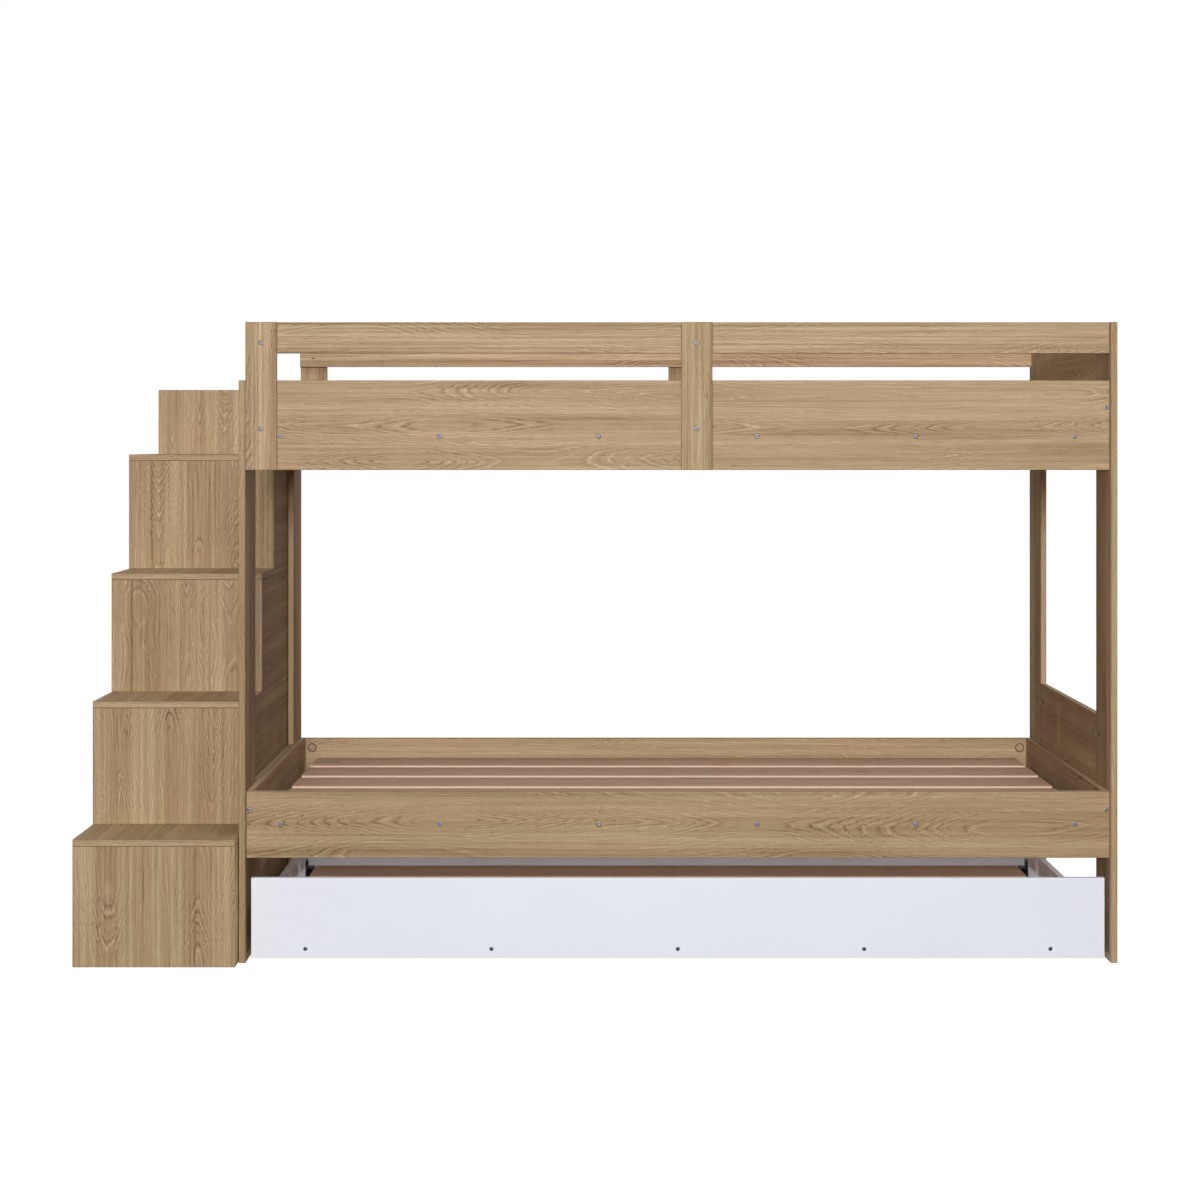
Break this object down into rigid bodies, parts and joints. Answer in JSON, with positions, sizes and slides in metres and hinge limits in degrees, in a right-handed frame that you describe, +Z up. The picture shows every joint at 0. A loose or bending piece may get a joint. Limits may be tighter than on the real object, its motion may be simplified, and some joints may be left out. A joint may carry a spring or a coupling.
{
  "type": "bunk bed with stairs and trundle",
  "caption": "Bunk bed of oak-look boards with box stairs at its left end, guard rails on the upper berth, slatted bases, and a white trundle that rolls out from below.",
  "frame": {"origin": "on the floor, under the middle of the box around the bed and its stairs", "axes": "+X along the bed to its right end (the stairs are at -X), +Y from the open front to the back, +Z up"},
  "size_m": [2.339, 1.082, 1.441],
  "materials": {
    "oak_board": "satin oak-look laminate",
    "white_board": "satin white laminate",
    "pine": "planed softwood",
    "screw_steel": "zinc plated",
    "cam_zinc": "cast zinc",
    "cap_plastic": "oak-coloured plastic",
    "bracket_steel": "black powder coat",
    "axle_steel": "plated rivet",
    "wheel_plastic": "black nylon"
  },
  "bodies": {
    "bed": {"back_left_stile": "oak_board", "back_middle_stile": "oak_board", "bed_screws": "screw_steel", "cam_locks": "cam_zinc", "cover_caps": "cap_plastic", "front_left_stile": "oak_board", "front_middle_stile": "oak_board", "guard_back_rail": "oak_board", "guard_front_rail": "oak_board", "left_back_post": "oak_board", "left_front_post": "oak_board", "left_lower_panel": "oak_board", "left_upper_panel": "oak_board", "lower_back_rail": "oak_board", "lower_cross_bars": "pine", "lower_front_rail": "oak_board", "lower_left_end_rail": "oak_board", "lower_right_end_rail": "oak_board", "lower_slats": "pine", "right_back_post": "oak_board", "right_front_post": "oak_board", "right_lower_panel": "oak_board", "right_upper_panel": "oak_board", "riser_1": "oak_board", "riser_2": "oak_board", "riser_3": "oak_board", "riser_4": "oak_board", "stair_back_panel": "oak_board", "stair_dowels": "pine", "stair_left_side_1": "oak_board", "stair_left_side_2": "oak_board", "stair_left_side_3": "oak_board", "stair_left_side_4": "oak_board", "stair_right_side_1": "oak_board", "stair_right_side_2": "oak_board", "stair_right_side_3": "oak_board", "stair_right_side_4": "oak_board", "tread_1": "oak_board", "tread_2": "oak_board", "tread_3": "oak_board", "tread_4": "oak_board", "upper_back_rail": "oak_board", "upper_cross_bars": "pine", "upper_front_rail": "oak_board", "upper_left_end_rail": "oak_board", "upper_right_end_rail": "oak_board", "upper_slats": "pine"},
    "trundle": {"caster_axles": "axle_steel", "caster_brackets": "bracket_steel", "trundle_back": "white_board", "trundle_cross_bars": "pine", "trundle_front": "white_board", "trundle_left_side": "white_board", "trundle_right_side": "white_board", "trundle_screws": "screw_steel", "trundle_slats": "pine"},
    "wheel_back_left": {"wheel_back_left": "wheel_plastic"},
    "wheel_back_right": {"wheel_back_right": "wheel_plastic"},
    "wheel_front_left": {"wheel_front_left": "wheel_plastic"},
    "wheel_front_right": {"wheel_front_right": "wheel_plastic"}
  },
  "joints": [
    {"name": "trundle_slide", "type": "slide", "parent": "bed", "child": "trundle", "axis": [0, -1, 0], "range_m": [0, 0.9]},
    {"name": "wheel_back_left_roll", "type": "hinge", "parent": "trundle", "child": "wheel_back_left", "pos_m": [-0.7549, 0.437, 0.025], "axis": [1, 0, 0], "continuous": true},
    {"name": "wheel_back_right_roll", "type": "hinge", "parent": "trundle", "child": "wheel_back_right", "pos_m": [1.1189, 0.437, 0.025], "axis": [1, 0, 0], "continuous": true},
    {"name": "wheel_front_left_roll", "type": "hinge", "parent": "trundle", "child": "wheel_front_left", "pos_m": [-0.7549, -0.434, 0.025], "axis": [1, 0, 0], "continuous": true},
    {"name": "wheel_front_right_roll", "type": "hinge", "parent": "trundle", "child": "wheel_front_right", "pos_m": [1.1189, -0.434, 0.025], "axis": [1, 0, 0], "continuous": true}
  ],
  "couplings": [
    {"joint": "wheel_back_left_roll", "follows": "trundle_slide", "rad_per_m": 40},
    {"joint": "wheel_back_right_roll", "follows": "trundle_slide", "rad_per_m": 40},
    {"joint": "wheel_front_left_roll", "follows": "trundle_slide", "rad_per_m": 40},
    {"joint": "wheel_front_right_roll", "follows": "trundle_slide", "rad_per_m": 40}
  ]
}
